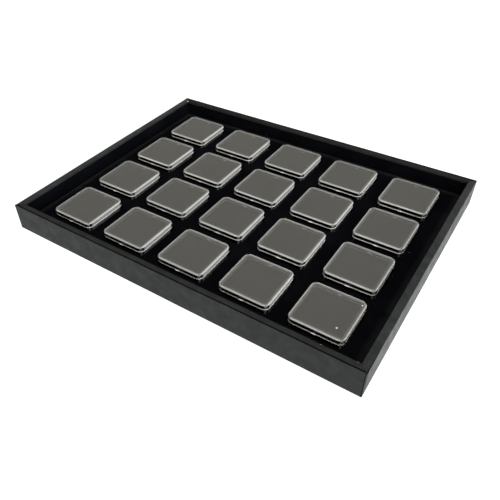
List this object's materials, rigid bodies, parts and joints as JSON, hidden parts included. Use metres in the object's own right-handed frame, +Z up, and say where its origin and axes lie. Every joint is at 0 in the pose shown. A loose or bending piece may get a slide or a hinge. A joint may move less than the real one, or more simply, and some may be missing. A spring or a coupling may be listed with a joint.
{
  "type": "mineral specimen box",
  "caption": "Shallow black display tray with a foam liner that holds a grid of clear square specimen boxes with lift-off lids",
  "frame": {"origin": "middle of the underside, on the surface that the tray stands on", "axes": "+X along the long side to the right, +Y from the front to the back, +Z up out of the tray"},
  "size_m": [0.3, 0.231, 0.0235],
  "materials": {
    "fibreboard": "raw, stained dark",
    "grained_covering": "matt grained imitation leather",
    "velvet_card": "short velvet pile",
    "velvet_foam": "soft foam under short velvet pile",
    "felt": "pressed felt",
    "clear_plastic": "clear, polished"
  },
  "bodies": {
    "tray": {"rail_front": "fibreboard", "rail_right": "fibreboard", "rail_back": "fibreboard", "rail_left": "fibreboard", "wrap_front": "grained_covering", "wrap_right": "grained_covering", "wrap_back": "grained_covering", "wrap_left": "grained_covering", "wall_card_front": "velvet_card", "wall_card_right": "velvet_card", "wall_card_back": "velvet_card", "wall_card_left": "velvet_card", "base_board": "fibreboard", "felt_backing": "felt", "floor_card_sheet": "velvet_card", "liner_strips": "velvet_foam", "liner_blocks": "velvet_foam"},
    "box_a1": {"cup_a1": "clear_plastic"},
    "cover_a1": {"lid_a1": "clear_plastic"},
    "box_b1": {"cup_b1": "clear_plastic"},
    "cover_b1": {"lid_b1": "clear_plastic"},
    "box_c1": {"cup_c1": "clear_plastic"},
    "cover_c1": {"lid_c1": "clear_plastic"},
    "box_d1": {"cup_d1": "clear_plastic"},
    "cover_d1": {"lid_d1": "clear_plastic"},
    "box_e1": {"cup_e1": "clear_plastic"},
    "cover_e1": {"lid_e1": "clear_plastic"},
    "box_a2": {"cup_a2": "clear_plastic"},
    "cover_a2": {"lid_a2": "clear_plastic"},
    "box_b2": {"cup_b2": "clear_plastic"},
    "cover_b2": {"lid_b2": "clear_plastic"},
    "box_c2": {"cup_c2": "clear_plastic"},
    "cover_c2": {"lid_c2": "clear_plastic"},
    "box_d2": {"cup_d2": "clear_plastic"},
    "cover_d2": {"lid_d2": "clear_plastic"},
    "box_e2": {"cup_e2": "clear_plastic"},
    "cover_e2": {"lid_e2": "clear_plastic"},
    "box_a3": {"cup_a3": "clear_plastic"},
    "cover_a3": {"lid_a3": "clear_plastic"},
    "box_b3": {"cup_b3": "clear_plastic"},
    "cover_b3": {"lid_b3": "clear_plastic"},
    "box_c3": {"cup_c3": "clear_plastic"},
    "cover_c3": {"lid_c3": "clear_plastic"},
    "box_d3": {"cup_d3": "clear_plastic"},
    "cover_d3": {"lid_d3": "clear_plastic"},
    "box_e3": {"cup_e3": "clear_plastic"},
    "cover_e3": {"lid_e3": "clear_plastic"},
    "box_a4": {"cup_a4": "clear_plastic"},
    "cover_a4": {"lid_a4": "clear_plastic"},
    "box_b4": {"cup_b4": "clear_plastic"},
    "cover_b4": {"lid_b4": "clear_plastic"},
    "box_c4": {"cup_c4": "clear_plastic"},
    "cover_c4": {"lid_c4": "clear_plastic"},
    "box_d4": {"cup_d4": "clear_plastic"},
    "cover_d4": {"lid_d4": "clear_plastic"},
    "box_e4": {"cup_e4": "clear_plastic"},
    "cover_e4": {"lid_e4": "clear_plastic"}
  },
  "joints": [
    {"name": "box_a1_lift", "type": "slide", "parent": "tray", "child": "box_a1", "axis": [0, 0, 1], "range_m": [0, 0.025]},
    {"name": "box_b1_lift", "type": "slide", "parent": "tray", "child": "box_b1", "axis": [0, 0, 1], "range_m": [0, 0.025]},
    {"name": "box_c1_lift", "type": "slide", "parent": "tray", "child": "box_c1", "axis": [0, 0, 1], "range_m": [0, 0.025]},
    {"name": "box_d1_lift", "type": "slide", "parent": "tray", "child": "box_d1", "axis": [0, 0, 1], "range_m": [0, 0.025]},
    {"name": "box_e1_lift", "type": "slide", "parent": "tray", "child": "box_e1", "axis": [0, 0, 1], "range_m": [0, 0.025]},
    {"name": "box_a2_lift", "type": "slide", "parent": "tray", "child": "box_a2", "axis": [0, 0, 1], "range_m": [0, 0.025]},
    {"name": "box_b2_lift", "type": "slide", "parent": "tray", "child": "box_b2", "axis": [0, 0, 1], "range_m": [0, 0.025]},
    {"name": "box_c2_lift", "type": "slide", "parent": "tray", "child": "box_c2", "axis": [0, 0, 1], "range_m": [0, 0.025]},
    {"name": "box_d2_lift", "type": "slide", "parent": "tray", "child": "box_d2", "axis": [0, 0, 1], "range_m": [0, 0.025]},
    {"name": "box_e2_lift", "type": "slide", "parent": "tray", "child": "box_e2", "axis": [0, 0, 1], "range_m": [0, 0.025]},
    {"name": "box_a3_lift", "type": "slide", "parent": "tray", "child": "box_a3", "axis": [0, 0, 1], "range_m": [0, 0.025]},
    {"name": "box_b3_lift", "type": "slide", "parent": "tray", "child": "box_b3", "axis": [0, 0, 1], "range_m": [0, 0.025]},
    {"name": "box_c3_lift", "type": "slide", "parent": "tray", "child": "box_c3", "axis": [0, 0, 1], "range_m": [0, 0.025]},
    {"name": "box_d3_lift", "type": "slide", "parent": "tray", "child": "box_d3", "axis": [0, 0, 1], "range_m": [0, 0.025]},
    {"name": "box_e3_lift", "type": "slide", "parent": "tray", "child": "box_e3", "axis": [0, 0, 1], "range_m": [0, 0.025]},
    {"name": "box_a4_lift", "type": "slide", "parent": "tray", "child": "box_a4", "axis": [0, 0, 1], "range_m": [0, 0.025]},
    {"name": "box_b4_lift", "type": "slide", "parent": "tray", "child": "box_b4", "axis": [0, 0, 1], "range_m": [0, 0.025]},
    {"name": "box_c4_lift", "type": "slide", "parent": "tray", "child": "box_c4", "axis": [0, 0, 1], "range_m": [0, 0.025]},
    {"name": "box_d4_lift", "type": "slide", "parent": "tray", "child": "box_d4", "axis": [0, 0, 1], "range_m": [0, 0.025]},
    {"name": "box_e4_lift", "type": "slide", "parent": "tray", "child": "box_e4", "axis": [0, 0, 1], "range_m": [0, 0.025]},
    {"name": "lid_a1_lift", "type": "slide", "parent": "box_a1", "child": "cover_a1", "axis": [0, 0, 1], "range_m": [0, 0.012]},
    {"name": "lid_b1_lift", "type": "slide", "parent": "box_b1", "child": "cover_b1", "axis": [0, 0, 1], "range_m": [0, 0.012]},
    {"name": "lid_c1_lift", "type": "slide", "parent": "box_c1", "child": "cover_c1", "axis": [0, 0, 1], "range_m": [0, 0.012]},
    {"name": "lid_d1_lift", "type": "slide", "parent": "box_d1", "child": "cover_d1", "axis": [0, 0, 1], "range_m": [0, 0.012]},
    {"name": "lid_e1_lift", "type": "slide", "parent": "box_e1", "child": "cover_e1", "axis": [0, 0, 1], "range_m": [0, 0.012]},
    {"name": "lid_a2_lift", "type": "slide", "parent": "box_a2", "child": "cover_a2", "axis": [0, 0, 1], "range_m": [0, 0.012]},
    {"name": "lid_b2_lift", "type": "slide", "parent": "box_b2", "child": "cover_b2", "axis": [0, 0, 1], "range_m": [0, 0.012]},
    {"name": "lid_c2_lift", "type": "slide", "parent": "box_c2", "child": "cover_c2", "axis": [0, 0, 1], "range_m": [0, 0.012]},
    {"name": "lid_d2_lift", "type": "slide", "parent": "box_d2", "child": "cover_d2", "axis": [0, 0, 1], "range_m": [0, 0.012]},
    {"name": "lid_e2_lift", "type": "slide", "parent": "box_e2", "child": "cover_e2", "axis": [0, 0, 1], "range_m": [0, 0.012]},
    {"name": "lid_a3_lift", "type": "slide", "parent": "box_a3", "child": "cover_a3", "axis": [0, 0, 1], "range_m": [0, 0.012]},
    {"name": "lid_b3_lift", "type": "slide", "parent": "box_b3", "child": "cover_b3", "axis": [0, 0, 1], "range_m": [0, 0.012]},
    {"name": "lid_c3_lift", "type": "slide", "parent": "box_c3", "child": "cover_c3", "axis": [0, 0, 1], "range_m": [0, 0.012]},
    {"name": "lid_d3_lift", "type": "slide", "parent": "box_d3", "child": "cover_d3", "axis": [0, 0, 1], "range_m": [0, 0.012]},
    {"name": "lid_e3_lift", "type": "slide", "parent": "box_e3", "child": "cover_e3", "axis": [0, 0, 1], "range_m": [0, 0.012]},
    {"name": "lid_a4_lift", "type": "slide", "parent": "box_a4", "child": "cover_a4", "axis": [0, 0, 1], "range_m": [0, 0.012]},
    {"name": "lid_b4_lift", "type": "slide", "parent": "box_b4", "child": "cover_b4", "axis": [0, 0, 1], "range_m": [0, 0.012]},
    {"name": "lid_c4_lift", "type": "slide", "parent": "box_c4", "child": "cover_c4", "axis": [0, 0, 1], "range_m": [0, 0.012]},
    {"name": "lid_d4_lift", "type": "slide", "parent": "box_d4", "child": "cover_d4", "axis": [0, 0, 1], "range_m": [0, 0.012]},
    {"name": "lid_e4_lift", "type": "slide", "parent": "box_e4", "child": "cover_e4", "axis": [0, 0, 1], "range_m": [0, 0.012]}
  ]
}
